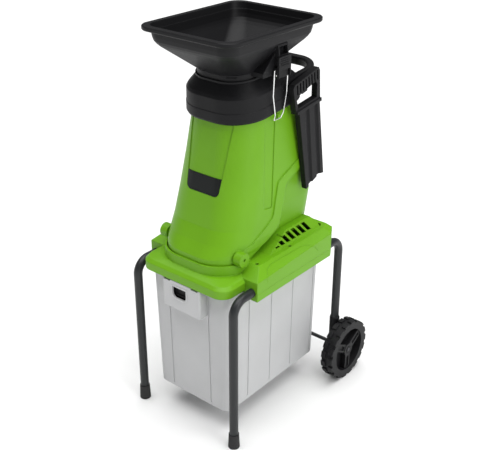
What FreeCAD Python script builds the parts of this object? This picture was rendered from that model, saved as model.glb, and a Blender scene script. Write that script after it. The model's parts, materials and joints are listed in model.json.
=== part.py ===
import FreeCAD, Part
import math
import os

from FreeCAD import Vector

# An electric garden shredder. Millimetres, +Z up, -Y is the side where the bin slides out,
# X is across. The origin is on the floor under the middle of the overall box.

# Frame tubes, feet, wheels
TUBE_R = 11.0
TUBE_WALL = 1.6
TUBE_Z = 412.0            # the tubes leave the housing at its parting line
TUBE_BEND_R = 36.0
LEG_X = 155.4
FRONT_LEG_Y = -248.0
REAR_LEG_Y = 178.5
FRONT_TUBE_END_Y = -100.0
REAR_TUBE_END_Y = 60.0
FOOT_R = 14.5
FOOT_TOP_R = 13.0
FOOT_H = 40.0
FOOT_SOLE = 8.0
SLEEVE_R = 13.5
SLEEVE_BOTTOM_Z = 62.0
SLEEVE_TOP_Z = 172.0
REAR_TUBE_BOTTOM_Z = 104.0
WHEEL_R = 84.0
WHEEL_IN_X = 172.3
WHEEL_OUT_X = 207.6
AXLE_R = 5.0
RUNNING_GAP = 0.05

# Housing plan
PARTING_Z = 412.0
SKIRT_BOTTOM_Z = 392.0
RAIL_TOP_Z = 395.0        # the bin's flanges slide on rails
WALL = 3.0
SIDE_X = 172.0
BLOCK_FRONT_Y = -181.5
SIDE_REAR_Y = 115.5
REAR_Y = 148.0
REAR_CORNER_X = 152.0
LOBE_X = 136.0
LOBE_FRONT_Y = -257.5
LOBE_R = 34.0
LOBE_EDGE_Z = 432.0
LOBE_TOP_Z = 446.0
RAIL_EDGE_Z = 441.0       # where the sides turn in towards the deck, at the front
REAR_EDGE_Z = 456.0       # the same at the rear
DECK_Z = 465.0
RING_X = 118.0
RING_FRONT_Y = -237.0
RING_R = 86.0
RING_TOP_Z = 470.0
RING_WALL = 5.0
RING_END_Y = -140.0

# Hinge of the upper housing
HINGE_Y = -174.5
HINGE_Z = 484.5
HINGE_PIN_R = 4.0
BOSS_R = 17.5
BOSS_OUT_X = 128.0
EAR_IN_X = 85.5
EAR_OUT_X = 93.5

# Lean of the collar and the neck: the top leans towards the front
LEAN_DEG = 6.0
COLLAR_Y = -42.4
COLLAR_Z = 801.0

# Hopper rim
RIM_X = 136.5
RIM_FRONT_Y = -232.5
RIM_REAR_Y = 113.5
RIM_CORNER_R = 36.0
RIM_TOP_Z = 1000.0

# Duct that drops the chips into the bin
DUCT_X = 88.0
DUCT_FRONT_Y = -158.0
DUCT_REAR_Y = 20.0

# Knife disc and motor: one axis, which tips down towards the rear
DISC_Y = -24.0
DISC_Z = 556.0
DISC_TILT_DEG = 16.0
DISC_R = 66.0
MOTOR_R = 52.0

# Side pods of the base cover and their vents
POD_LOW_X = 135.5
POD_TOP_X = 117.5
POD_TOP_Z = 495.0
POD_FRONT_Y = -101.0
POD_CREST_Y = -4.0
POD_REAR_Y = 128.0
VENTS = 7
VENT_FIRST_Y = -52.5
VENT_PITCH = 21.3
VENT_WIDTH = 13.4
VENT_LOW_Z = 469.0
VENT_TOP_Z = 490.5
VENT_SLANT = 0.7          # how far a vent leans forward for each millimetre it rises

# Screws of the base cover (x, y) and the slot for the bin lock's tongue (x, x, y, y)
SCREW_XY = [(136.5, -140.0), (141.5, -20.0), (131.0, 118.0)]
SCREW_SEAT_Z = DECK_Z - 7.0
TONGUE_SLOT = (-21.0, 11.0, -253.0, -236.5)

# Where the upper housing parts from the fixed housing, in the side view (y, z)
SPLIT_LINE = [
    (-140.0, 471.5), (-112.0, 483.0), (-81.0, 496.5), (-46.0, 515.4), (-36.0, 521.0),
    (-29.0, 536.0), (-22.5, 556.0), (-16.0, 573.0), (-10.0, 591.0), (-6.0, 610.0),
    (3.3, 621.0), (39.4, 636.3), (92.0, 658.5), (150.0, 683.0),
]
SPLIT_GAP = 1.2
# The upper edge of the raised band that follows the split
BAND_LINE = [
    (-161.5, 498.6), (-116.0, 518.0), (-88.0, 530.0), (-61.0, 545.5), (-54.0, 556.0),
    (-48.0, 580.0), (-36.0, 620.0), (-32.0, 629.0), (-21.0, 636.0), (37.0, 659.0), (150.0, 706.0),
]
BAND_STEP = 3.0

# Upper housing: its foot, and the shallow recesses in its front and sides
FOOT_X = 112.4
FOOT_FRONT_Y = -231.2
FOOT_REAR_Y = 100.0
REAR_CORNER_R = 26.0
RECESS = 1.9

# Neck of the hopper and the draw latches that hold the hopper
NECK_X = 79.0
NECK_Y = 83.0
NECK_R = 60.0
NECK_REAR_R = 44.0
NECK_TOP = 104.0
LATCH_Y = -33.0           # middle of each draw latch, which is on the hopper's side
LATCH_PIVOT = (118.0, 894.0)
WIRE_PIVOT = (115.0, 905.0)
WIRE_R = 1.5
LEVER_HALF = 22.0
BRACKET_HALF = 17.5

# Pusher, which hangs on a peg beside the collar
PUSHER_IN_X = 112.0
PUSHER_OUT_X = 128.0
PUSHER_TOP_Y = 46.0
PUSHER_TOP_Z = 872.0
PUSHER_LEAN_DEG = 7.5

# Bin lock: a block on the bin with a finger window and a slider
LOCK_HALF = 60.0
LOCK_X = -5.0             # the finger window sits slightly off the middle
LOCK_FRONT_Y = -257.5
LOCK_LOW_Z = 335.0
LOCK_TOP_Z = 410.6
WINDOW_HALF = 22.0
WINDOW_LOW_Z = 367.0
WINDOW_TOP_Z = 397.0
WINDOW_R = 12.0

# Motor shaft, locking knob, switch box
SHAFT_R = 6.0
KNOB_Y = 104.0
KNOB_Z = 679.0
KNOB_TILT_DEG = 33.0      # the knob's axis points along the hinge's arc, up and to the front
BOX_REAR_Y = 166.0
BUTTON_X = 18.0
BUTTON_Z = 592.0
BUTTON_R = 9.0
RESET_Z = 560.0
RESET_R = 5.0

# Bin
BIN_BOTTOM_Z = 66.0
BIN_TOP_Z = 401.0
BIN_BOTTOM_X = 117.0
BIN_TOP_X = 122.5
BIN_BOTTOM_FRONT_Y = -226.5
BIN_TOP_FRONT_Y = -232.0
BIN_BOTTOM_REAR_Y = 137.5
BIN_TOP_REAR_Y = 142.5
BIN_WALL = 3.5
BIN_CORNER_R = 20.0


# ---------------------------------------------------------------- general helpers

def mirrored(shape):
    return shape.mirror(Vector(0, 0, 0), Vector(1, 0, 0))


def both_sides(shape):
    return Part.makeCompound([shape, mirrored(shape)])


def polygon_prism(points, direction):
    """A closed polygon of 3-D points, pushed along a vector."""
    wire = Part.makePolygon(points + [points[0]])
    return Part.Face(wire).extrude(direction)


def yz_prism(points, x_low, x_high):
    return polygon_prism([Vector(x_low, y, z) for y, z in points], Vector(x_high - x_low, 0, 0))


def xz_prism(points, y_low, y_high):
    return polygon_prism([Vector(x, y_low, z) for x, z in points], Vector(0, y_high - y_low, 0))


def xy_prism(points, z_low, z_high):
    return polygon_prism([Vector(x, y, z_low) for x, y in points], Vector(0, 0, z_high - z_low))


def box(x_low, x_high, y_low, y_high, z_low, z_high):
    size = (x_high - x_low, y_high - y_low, z_high - z_low)
    return Part.makeBox(*size, Vector(x_low, y_low, z_low))


def rod(radius, start, end):
    start, end = Vector(*start), Vector(*end)
    return Part.makeCylinder(radius, (end - start).Length, start, end - start)


def rounded_wire(half_x, half_y, radius, rear_radius=None):
    """A rounded rectangle about the origin, in the plane z = 0; its rear corners may differ."""
    edges = []
    corners = [(1, 1, 0), (-1, 1, 90), (-1, -1, 180), (1, -1, 270)]
    ends = []
    for sign_x, sign_y, start in corners:
        turn = rear_radius if rear_radius and sign_y > 0 else radius
        centre = Vector(sign_x * (half_x - turn), sign_y * (half_y - turn), 0)
        arc = Part.makeCircle(turn, centre, Vector(0, 0, 1), start, start + 90)
        ends.append((arc.valueAt(arc.FirstParameter), arc.valueAt(arc.LastParameter)))
        edges.append(arc)
    wire_edges = []
    for index, arc in enumerate(edges):
        wire_edges.append(arc)
        following = (index + 1) % len(edges)
        wire_edges.append(Part.makeLine(ends[index][1], ends[following][0]))
    return Part.Wire(wire_edges)


def level_section(half_x, front, rear, radius, z, rear_radius=None):
    wire = rounded_wire(half_x, (rear - front) / 2, radius, rear_radius)
    wire.translate(Vector(0, (rear + front) / 2, z))
    return wire


def leaning_section(half_x, half_y, radius, height, rear_radius=None):
    """A section square to the leaning axis, at a height above the collar's lower edge."""
    wire = rounded_wire(half_x, half_y, radius, rear_radius)
    wire.translate(Vector(0, COLLAR_Y, COLLAR_Z + height))
    wire.rotate(Vector(0, COLLAR_Y, COLLAR_Z), Vector(1, 0, 0), LEAN_DEG)
    return wire


def loft(wires, ruled=True):
    return Part.makeLoft(wires, True, ruled)


def write(name, shape):
    shape = shape.removeSplitter() if shape.ShapeType != "Compound" else shape
    if not shape.isValid():
        print("not valid:", name)
    print(f"{name:26s} solids {len(shape.Solids)} volume {shape.Volume / 1000:9.1f} cm3")
    shape.exportStep(f"parts/{name}.step")


# ---------------------------------------------------------------- frame, feet, wheels

def tube_path(x, inner_y, leg_y, bottom_z):
    """Level out of the housing, a quarter bend, then straight down."""
    outward = 1 if leg_y > inner_y else -1
    bend_y = leg_y - outward * TUBE_BEND_R
    bend_z = TUBE_Z - TUBE_BEND_R
    diagonal = TUBE_BEND_R * math.sqrt(0.5)
    bend_start = Vector(x, bend_y, TUBE_Z)
    bend_middle = Vector(x, bend_y + outward * diagonal, bend_z + diagonal)
    bend_end = Vector(x, leg_y, bend_z)
    level = Part.makeLine(Vector(x, inner_y, TUBE_Z), bend_start)
    bend = Part.Arc(bend_start, bend_middle, bend_end).toShape()
    down = Part.makeLine(bend_end, Vector(x, leg_y, bottom_z))
    return Part.Wire([level, bend, down])


def bent_tube(x, inner_y, leg_y, bottom_z):
    path = tube_path(x, inner_y, leg_y, bottom_z)
    start = Vector(x, inner_y, TUBE_Z)
    outward = Vector(0, 1 if leg_y > inner_y else -1, 0)
    pipes = []
    for radius in (TUBE_R, TUBE_R - TUBE_WALL):
        circle = Part.Wire(Part.makeCircle(radius, start, outward))
        pipes.append(path.makePipeShell([circle], True, False))
    return pipes[0].cut(pipes[1])


def axle_hole(x, radius):
    return rod(radius, (x - 30, REAR_LEG_Y, WHEEL_R), (x + 30, REAR_LEG_Y, WHEEL_R))


def foot(x):
    shell = Part.makeCone(FOOT_R, FOOT_TOP_R, FOOT_H, Vector(x, FRONT_LEG_Y, 0))
    shell = shell.makeFillet(1.5, [edge for edge in shell.Edges if edge.BoundBox.ZMax < 0.1])
    socket = Part.makeCylinder(TUBE_R + RUNNING_GAP, FOOT_H, Vector(x, FRONT_LEG_Y, FOOT_SOLE))
    return shell.cut(socket)


def axle_sleeve(x):
    """The plastic end piece on a rear leg, which holds the axle."""
    body = Part.makeCylinder(SLEEVE_R, SLEEVE_TOP_Z - SLEEVE_BOTTOM_Z, Vector(x, REAR_LEG_Y, SLEEVE_BOTTOM_Z))
    body = body.makeFillet(2.0, [edge for edge in body.Edges if edge.BoundBox.ZLength < 0.1])
    socket = Part.makeCylinder(TUBE_R + RUNNING_GAP, 90, Vector(x, REAR_LEG_Y, REAR_TUBE_BOTTOM_Z))
    return body.cut([socket, axle_hole(x, AXLE_R + RUNNING_GAP)])


def wheel_lugs(tread_base, width, centre, along):
    """Two staggered rows of blocks round the tread."""
    lugs = 18
    half_lug = 0.31 * 2 * math.pi * WHEEL_R / lugs
    blocks = []
    for row, (low, high) in enumerate(((0.0, 0.36), (0.62, 1.0))):
        for index in range(lugs):
            lug = box(WHEEL_IN_X + low * width, WHEEL_IN_X + high * width,
                      REAR_LEG_Y - half_lug, REAR_LEG_Y + half_lug,
                      WHEEL_R + tread_base - 4, WHEEL_R + WHEEL_R)
            lug.rotate(centre, along, 360.0 * (index + 0.5 * row) / lugs)
            blocks.append(lug)
    return blocks


def wheel_spokes(hub_r, rim_inner, centre, along):
    """Three spokes, each with a groove down its outer face."""
    spokes = []
    for index in range(3):
        spoke = box(WHEEL_IN_X + 8, WHEEL_OUT_X - 3.5, REAR_LEG_Y - 11, REAR_LEG_Y + 11,
                    WHEEL_R + hub_r - 3, WHEEL_R + rim_inner + 2)
        groove = box(WHEEL_OUT_X - 7.0, WHEEL_OUT_X, REAR_LEG_Y - 6, REAR_LEG_Y + 6,
                     WHEEL_R + hub_r + 5, WHEEL_R + rim_inner - 5)
        spoke = spoke.cut(groove)
        spoke.rotate(centre, along, 120.0 * index + 60.0)
        spokes.append(spoke)
    return spokes


def wheel(side):
    """A one-piece moulded wheel: chunky tread, deeply dished face and three spokes."""
    width = WHEEL_OUT_X - WHEEL_IN_X
    tread_base = 79.5
    rim_inner = 61.0
    hub_r = 18.0
    dish_depth = 23.0
    centre = Vector(WHEEL_IN_X, REAR_LEG_Y, WHEEL_R)
    along = Vector(1, 0, 0)
    rim = Part.makeCylinder(tread_base, width, centre, along)
    rim = rim.cut(Part.makeCylinder(rim_inner, width, centre, along))
    hub = Part.makeCylinder(hub_r, width - 2.0, centre, along)
    web = Part.makeCylinder(rim_inner + 1, 3.0, centre + along * (width - dish_depth), along)
    blocks = wheel_lugs(tread_base, width, centre, along) + wheel_spokes(hub_r, rim_inner, centre, along)
    body = rim.fuse([hub, web] + blocks)
    body = body.common(Part.makeCylinder(WHEEL_R, width, centre, along))
    bore = Part.makeCylinder(AXLE_R + RUNNING_GAP, width + 4, centre - along * 2, along)
    cap_seat = Part.makeCylinder(10.0, 6.0, centre + along * (width - 6.0), along)
    body = body.cut([bore, cap_seat])
    return body if side > 0 else mirrored(body)


def build_frame():
    for side, word in ((-1, "left"), (1, "right")):
        x = side * LEG_X
        front = bent_tube(x, FRONT_TUBE_END_Y, FRONT_LEG_Y, FOOT_SOLE)
        rear = bent_tube(x, REAR_TUBE_END_Y, REAR_LEG_Y, REAR_TUBE_BOTTOM_Z)
        write(f"front_leg_{word}", front)
        write(f"rear_leg_{word}", rear)
        write(f"foot_{word}", foot(x))
        write(f"axle_sleeve_{word}", axle_sleeve(x))
        write(f"wheel_{word}", wheel(side))
    axle_end = WHEEL_OUT_X - 3.0
    write("wheel_axle", rod(AXLE_R, (-axle_end, REAR_LEG_Y, WHEEL_R), (axle_end, REAR_LEG_Y, WHEEL_R)))
    washer = rod(10.0, (LEG_X + SLEEVE_R + 0.1, REAR_LEG_Y, WHEEL_R), (WHEEL_IN_X - 0.35, REAR_LEG_Y, WHEEL_R))
    washer = washer.cut(axle_hole(LEG_X, AXLE_R + RUNNING_GAP))
    write("axle_washers", both_sides(washer))
    cap = rod(9.0, (WHEEL_OUT_X - 5.6, REAR_LEG_Y, WHEEL_R), (WHEEL_OUT_X - 1.2, REAR_LEG_Y, WHEEL_R))
    cap = cap.makeFillet(1.2, [edge for edge in cap.Edges if edge.BoundBox.XMin > WHEEL_OUT_X - 1.4])
    cap = cap.cut(rod(AXLE_R, (LEG_X, REAR_LEG_Y, WHEEL_R), (axle_end, REAR_LEG_Y, WHEEL_R)))
    write("axle_caps", both_sides(cap))


# ---------------------------------------------------------------- housing

def housing_outline(inset_side=0.0, inset_front=0.0, inset_rear=0.0):
    """Plan of the housing: a rectangle whose rear corners are cut off."""
    right = [
        (SIDE_X - inset_side, BLOCK_FRONT_Y + inset_front),
        (SIDE_X - inset_side, SIDE_REAR_Y - 0.4 * inset_rear),
        (REAR_CORNER_X - 0.6 * inset_side, REAR_Y - inset_rear),
    ]
    left = [(-x, y) for x, y in reversed(right)]
    return right + left


def outline_wire(points, z):
    vectors = [Vector(x, y, z) for x, y in points]
    return Part.makePolygon(vectors + [vectors[0]])


def deck_body(inset):
    """The box of the base cover: sides that rise towards the rear, then shoulders up to a flat deck."""
    low = housing_outline(inset, inset, inset)
    top = housing_outline(24.0 + inset, 35.5 + inset, 8.0 + inset)
    edge = [
        Vector(x, y, (RAIL_EDGE_Z if y < 0 else REAR_EDGE_Z) - 0.4 * inset)
        for x, y in low
    ]
    edge_wire = Part.makePolygon(edge + [edge[0]])
    bottom_z = PARTING_Z - 1.0 if inset else PARTING_Z
    return loft([outline_wire(low, bottom_z), edge_wire, outline_wire(top, DECK_Z - inset)])


def lobe_body(inset):
    """The rounded nose of the base cover, over the front of the bin."""
    rear = -100.0
    sections = [
        level_section(LOBE_X - inset, LOBE_FRONT_Y + inset, rear, LOBE_R - inset, PARTING_Z + inset),
        level_section(LOBE_X - inset, LOBE_FRONT_Y + inset, rear, LOBE_R - inset, LOBE_EDGE_Z - 0.4 * inset),
        level_section(LOBE_X - 6 - inset, LOBE_FRONT_Y + 7 + inset, rear, LOBE_R - inset, LOBE_EDGE_Z + 8 - inset),
        level_section(RING_X - inset, RING_FRONT_Y + inset, rear, LOBE_R + 26 - inset, LOBE_TOP_Z - inset),
    ]
    return loft(sections)


def ring_body(inset, low_z, top_z):
    """The collar on the nose that the foot of the upper housing stands in."""
    rear = -60.0
    low = level_section(RING_X - inset, RING_FRONT_Y + inset, rear, RING_R - inset, low_z)
    top = level_section(RING_X - inset, RING_FRONT_Y + inset, rear, RING_R - inset, top_z)
    return loft([low, top])


def pod_body(inset):
    """The raised side pod: a wedge whose outer face slopes inwards and carries the vents."""
    profile = [
        (POD_FRONT_Y + 3 * inset, DECK_Z - 4.0),
        (POD_CREST_Y + inset, POD_TOP_Z - inset),
        (POD_REAR_Y - 34 - inset, POD_TOP_Z - inset),
        (POD_REAR_Y - inset, DECK_Z - 1.0),
        (POD_REAR_Y - inset, DECK_Z - 4.0),
    ]
    side_view = yz_prism(profile, 90.0, 145.0)
    slope = (POD_LOW_X - POD_TOP_X) / (POD_TOP_Z - DECK_Z)
    end_view = [
        (60.0, DECK_Z - 4.0),
        (POD_LOW_X - 1.2 * inset + 4 * slope, DECK_Z - 4.0),
        (POD_TOP_X - 1.2 * inset, POD_TOP_Z),
        (60.0, POD_TOP_Z),
    ]
    return side_view.common(xz_prism(end_view, POD_FRONT_Y - 5, POD_REAR_Y + 5))


def vent_cutters():
    """Slanted slots through the sloping face; the front ones end below the pod's rising edge."""
    rise = (POD_TOP_Z - DECK_Z) / (POD_CREST_Y - POD_FRONT_Y)
    cutters = []
    for index in range(VENTS):
        y = VENT_FIRST_Y + index * VENT_PITCH
        top_z = min(VENT_TOP_Z, DECK_Z - 4.0 + rise * (y - POD_FRONT_Y - 8.0))
        top_z = max(top_z, VENT_LOW_Z + 3.5)
        lean = VENT_SLANT * (top_z - VENT_LOW_Z)
        half = VENT_WIDTH / 2
        profile = [
            (y - half, VENT_LOW_Z),
            (y + half, VENT_LOW_Z),
            (y + half - lean, top_z),
            (y - half - lean, top_z),
        ]
        cutters.append(yz_prism(profile, 106.0, 145.0))
    return cutters


def sockets(radius):
    """The bores that the four leg tubes plug into."""
    bores = []
    for side in (-1, 1):
        x = side * LEG_X
        bores.append(rod(radius, (x, FRONT_TUBE_END_Y, TUBE_Z), (x, FRONT_LEG_Y, TUBE_Z)))
        bores.append(rod(radius, (x, REAR_TUBE_END_Y, TUBE_Z), (x, REAR_LEG_Y, TUBE_Z)))
        bores.append(rod(radius + 0.8, (x, 138.0, TUBE_Z - 0.4), (x, REAR_LEG_Y, TUBE_Z - 0.4)))
    return bores


def socket_ribs(low_z, high_z):
    """Cross walls in the housing that carry the inner ends of the tubes."""
    ribs = []
    for low_y in (BLOCK_FRONT_Y, FRONT_TUBE_END_Y - 6.0, REAR_TUBE_END_Y):
        ribs.append(box(138.0, SIDE_X - 1.5, low_y, low_y + 6.0, low_z, high_z))
    return [both_sides(rib) for rib in ribs]


def lower_shell():
    """The tray under the parting line: side channels for the tubes, rails for the bin, a chip hole."""
    body = xy_prism(housing_outline(), SKIRT_BOTTOM_Z, PARTING_Z)
    channel = xy_prism(housing_outline(WALL, WALL, WALL), SKIRT_BOTTOM_Z + WALL, PARTING_Z + 1)
    channel = channel.common(both_sides(box(138.0, 180, -200, 200, 0, 500)))
    bin_space = box(-134.5, 134.5, BLOCK_FRONT_Y - 1, REAR_Y - WALL, SKIRT_BOTTOM_Z - 1, PARTING_Z - 4.0)
    chip_hole = level_section(DUCT_X - WALL, DUCT_FRONT_Y + WALL, DUCT_REAR_Y - WALL, 12.0, PARTING_Z - 10)
    chip_hole = Part.Face(chip_hole).extrude(Vector(0, 0, 20))
    body = body.cut([channel, bin_space, chip_hole])
    rail = box(126.5, 135.0, BLOCK_FRONT_Y, 138.0, SKIRT_BOTTOM_Z, RAIL_TOP_Z)
    body = body.fuse(socket_ribs(SKIRT_BOTTOM_Z + 1, PARTING_Z) + [both_sides(rail)])
    return body.cut(sockets(TUBE_R + RUNNING_GAP))


def base_cover():
    ring = ring_body(0, 430.0, RING_TOP_Z).common(box(-150, 150, -300, RING_END_Y, 400, 480))
    outer = deck_body(0).fuse([lobe_body(0), ring, both_sides(pod_body(0))])
    inner = deck_body(WALL).fuse([lobe_body(WALL), both_sides(pod_body(WALL))])
    mouth = ring_body(RING_WALL, PARTING_Z + 2 * WALL, RING_TOP_Z + 5)
    mouth = mouth.common(box(-150, 150, -300, RING_END_Y, 400, 480))
    passage = box(-90.0, 90.0, -160.0, 118.0, DECK_Z - 10.0, DECK_Z + 10.0)
    body = outer.cut([inner, mouth, passage])
    body = body.fuse(socket_ribs(PARTING_Z, RAIL_EDGE_Z - 1.0))
    posts = []
    seats = []
    for x, y in SCREW_XY:
        posts.append(both_sides(Part.makeCylinder(7.0, DECK_Z - PARTING_Z, Vector(x, y, PARTING_Z))))
        seats.append(both_sides(Part.makeCylinder(4.6, 40.0, Vector(x, y, SCREW_SEAT_Z))))
        seats.append(both_sides(Part.makeCylinder(2.0, 80.0, Vector(x, y, PARTING_Z - 10))))
    body = body.fuse([post.common(deck_body(0)) for post in posts])
    boss_room = both_sides(rod(BOSS_R + 1.0, (RING_X - 20.0, HINGE_Y, HINGE_Z), (150, HINGE_Y, HINGE_Z)))
    slot = box(*TONGUE_SLOT, PARTING_Z - 1, PARTING_Z + WALL + 1)
    vents = vent_cutters()
    cuts = sockets(TUBE_R + RUNNING_GAP) + seats + [boss_room, slot] + [both_sides(vent) for vent in vents]
    tower_seat = loft(tower_wires(0.02)).common(box(-150, 150, -125, 200, DECK_Z, 500))
    body = body.cut(cuts + [tower_seat])
    return body.fuse(both_sides(hinge_ear()))


def hinge_ear():
    """The fixed half of one hinge: an eye on an arm that reaches forward from the deck."""
    eye = rod(10.0, (EAR_IN_X, HINGE_Y, HINGE_Z), (EAR_OUT_X, HINGE_Y, HINGE_Z))
    arm = box(EAR_IN_X, EAR_OUT_X, HINGE_Y, -127.0, DECK_Z - WALL + 0.2, HINGE_Z - 5.0)
    bore = rod(HINGE_PIN_R, (EAR_IN_X - 3, HINGE_Y, HINGE_Z), (EAR_OUT_X + 3, HINGE_Y, HINGE_Z))
    return eye.fuse(arm).cut(bore)


def split_side(shift):
    """Everything above the split line, which is moved up by a shift."""
    line = [(y, z + shift) for y, z in SPLIT_LINE]
    front = [(-300.0, 464.0), (-152.0, 464.0), (-152.0, 471.5 + shift)]
    return yz_prism([(-300.0, 900.0)] + front + line + [(150.0, 900.0)], -160.0, 160.0)


def chute_wires(offset):
    """Level sections of the upper housing, from the foot's top to under the collar."""
    table = [
        (115.5, -226.0, 100.0, 86.0, 492.0),
        (117.5, -213.0, 98.0, 84.0, 512.0),
        (116.0, -197.0, 94.0, 80.0, 545.0),
        (112.0, -178.0, 86.0, 80.0, 616.0),
        (106.0, -160.5, 76.0, 80.0, 700.0),
        (101.0, -147.0, 67.0, 80.0, 775.0),
        (98.0, -137.0, 58.0, 78.0, 845.0),
    ]
    return [
        level_section(half + offset, front - offset, rear + offset, radius + offset, z, REAR_CORNER_R + offset)
        for half, front, rear, radius, z in table
    ]


def foot_section(offset, z):
    return level_section(FOOT_X + offset, FOOT_FRONT_Y - offset, FOOT_REAR_Y + offset, 85.0 + offset, z,
                         REAR_CORNER_R + offset)


def chute_solid(offset):
    wires = chute_wires(offset)
    foot = loft([foot_section(offset, 455.0), foot_section(offset, 483.0)])
    shoulder = loft([foot_section(offset, 483.0), wires[0]])
    return loft(wires).fuse([shoulder, foot])


def rounded_below(half_outline):
    """A prism through the front, mirrored about the middle, with rounded lower corners."""
    outline = half_outline + [(-x, z) for x, z in reversed(half_outline)]
    prism = xz_prism(outline, -260.0, -100.0)
    low_z = half_outline[-1][1]
    corners = [edge for edge in prism.Edges if edge.BoundBox.ZMax < low_z + 0.1 and edge.BoundBox.YLength > 100]
    return prism.makeFillet(13.0, corners)


def front_panel_recess():
    panel = rounded_below([(64.0, 830.0), (62.0, 790.0), (52.0, 664.0), (48.5, 620.0)])
    return panel.cut(chute_solid(-RECESS))


def side_groove():
    side_view = [(-68.0, 800.0), (-31.0, 800.0), (-57.0, 578.0), (-61.0, 574.0), (-84.0, 578.0), (-88.0, 583.0)]
    return yz_prism(side_view, 60.0, 140.0).cut(chute_solid(-RECESS))


def front_badge():
    """A plain dark plate in the lower end of the front recess."""
    plate = rounded_below([(51.4, 663.0), (47.9, 620.6)]).common(chute_solid(-0.3))
    return plate.cut(chute_solid(-RECESS + 0.02))


def collar_seat():
    """A flange round the top of the upper housing that the collar is slid over."""
    slab = loft([leaning_section(130.0, 130.0, 30.0, height) for height in (29.0, 33.0)])
    return slab.common(loft(collar_wires(-WALL - 0.05)))


def chute():
    """The hinged upper housing: a leaning funnel with a foot, a raised band and two hinge bosses."""
    outer = chute_solid(0)
    profile = [(-172.0, 493.0)] + BAND_LINE + SPLIT_LINE[::-1] + [(-172.0, 471.3)]
    band = chute_solid(BAND_STEP).common(yz_prism(profile, -160.0, 160.0))
    bosses = both_sides(rod(BOSS_R, (FOOT_X - 6, HINGE_Y, HINGE_Z), (BOSS_OUT_X, HINGE_Y, HINGE_Z)))
    fittings = [bosses, both_sides(latch_catch()), collar_seat(), knob_tab()]
    body = outer.fuse([band]).common(split_side(0)).fuse(fittings)
    body = body.cut([chute_solid(-WALL), front_panel_recess(), both_sides(side_groove())])
    lean_cut = Part.makeBox(400, 400, 100, Vector(-200, COLLAR_Y - 200, COLLAR_Z + 34))
    lean_cut.rotate(Vector(0, COLLAR_Y, COLLAR_Z), Vector(1, 0, 0), LEAN_DEG)
    pin_bore = both_sides(rod(HINGE_PIN_R + RUNNING_GAP, (80, HINGE_Y, HINGE_Z), (140, HINGE_Y, HINGE_Z)))
    stud_hole = knob_frame(Part.makeCylinder(4.05, 40.0, Vector(0, 0, -20)))
    return body.cut([lean_cut, pin_bore, stud_hole])


def tower_wires(offset):
    table = [
        (97.0, 136.0, 60.0, DECK_Z),
        (105.0, 145.0, 60.0, 560.0),
        (104.0, 144.0, 60.0, 622.0),
        (97.0, 134.0, 56.0, 652.0),
        (82.0, 112.0, 48.0, 672.0),
    ]
    return [
        level_section(half + offset, -260.0, rear + offset, radius + offset, z + 0.8 * offset if z > DECK_Z else z)
        for half, rear, radius, z in table
    ]


def tower_cover():
    """The fixed rear housing round the motor, open at the front."""
    below = box(-200, 200, RING_END_Y + 0.5, 254, DECK_Z, 765).cut(split_side(-SPLIT_GAP))
    outer = loft(tower_wires(0)).common(below)
    roof_line = [(y, z - SPLIT_GAP) for y, z in SPLIT_LINE if y > 0]
    roof_under = [(y, z - WALL) for y, z in reversed(roof_line)]
    roof = yz_prism(roof_line + roof_under, -160.0, 160.0)
    inner = loft(tower_wires(-WALL)).cut(roof)
    ledge_line = [(y, z - SPLIT_GAP) for y, z in SPLIT_LINE if y < 80] + [(80.0, 652.0)]
    ledge_back = [(y + 3.0, z - 5.5) for y, z in reversed(ledge_line)]
    ledge = chute_solid(-0.5).common(yz_prism(ledge_line + ledge_back, -160.0, 160.0))
    ledge = ledge.common(box(-160, 160, RING_END_Y + 0.5, 200, DECK_Z, 700))
    stud_post = knob_frame(Part.makeCylinder(9.0, 26.0, Vector(0, 0, -32.0))).common(loft(tower_wires(-0.5)))
    stud_post = stud_post.common(below)
    stud_bore = knob_frame(Part.makeCylinder(5.2, 60.0, Vector(0, 0, -40.0)))
    return outer.fuse(ledge).cut(inner).fuse(stud_post).cut(stud_bore)


def build_housing():
    write("lower_shell", lower_shell())
    write("base_cover", base_cover())
    write("upper_housing", chute())
    write("motor_cover", tower_cover())


# ---------------------------------------------------------------- collar, hopper, latches

def collar_wires(offset):
    table = [
        (106.2, 112.5, 83.5, 30.0, 0.0),
        (108.7, 115.0, 86.0, 32.5, 5.0),
        (107.4, 113.7, 84.7, 31.2, 26.0),
        (106.4, 112.7, 83.7, 30.2, 27.0),
        (104.2, 110.2, 81.5, 30.0, 58.0),
        (100.5, 106.3, 79.0, 32.0, 64.5),
        (82.0, 86.0, 62.0, 46.0, 86.0),
    ]
    return [
        leaning_section(x + offset, y + offset, radius + offset, height, rear_radius + offset)
        for x, y, radius, rear_radius, height in table
    ]


def neck_section(offset, height):
    return leaning_section(NECK_X + offset, NECK_Y + offset, NECK_R + offset, height, NECK_REAR_R + offset)


def collar():
    outer = loft(collar_wires(0))
    inner = loft(collar_wires(-WALL))
    below = [leaning_section(103.0, 109.0, 80.0, height, 27.0) for height in (-1.0, 0.5)]
    mouth = [neck_section(0.5, height) for height in (60.0, 90.0)]
    return outer.cut([inner, loft(below), loft(mouth)])


def funnel_wires(offset):
    """Four slopes that turn smoothly into the upright band under the rim."""
    table = [
        (111.5, -203.0, 82.5, 33.0, 953.0),
        (115.6, -209.3, 89.6, 34.0, 959.5),
        (118.4, -213.8, 94.6, 34.0, 966.0),
        (120.0, -216.3, 97.3, 34.0, 975.0),
        (122.0, -218.5, 99.5, 34.0, 990.0),
    ]
    return [
        level_section(half + offset, front - offset, rear + offset, radius + offset, z)
        for half, front, rear, radius, z in table
    ]


def hopper_solid(offset, neck_low):
    """The funnel: a leaning neck, four slopes, an upright band under the rim."""
    wires = funnel_wires(offset)
    neck = loft([neck_section(offset, neck_low), neck_section(offset, NECK_TOP)])
    slopes = loft([neck_section(offset, NECK_TOP), wires[0]])
    return neck.fuse([slopes, loft(wires)])


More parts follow.
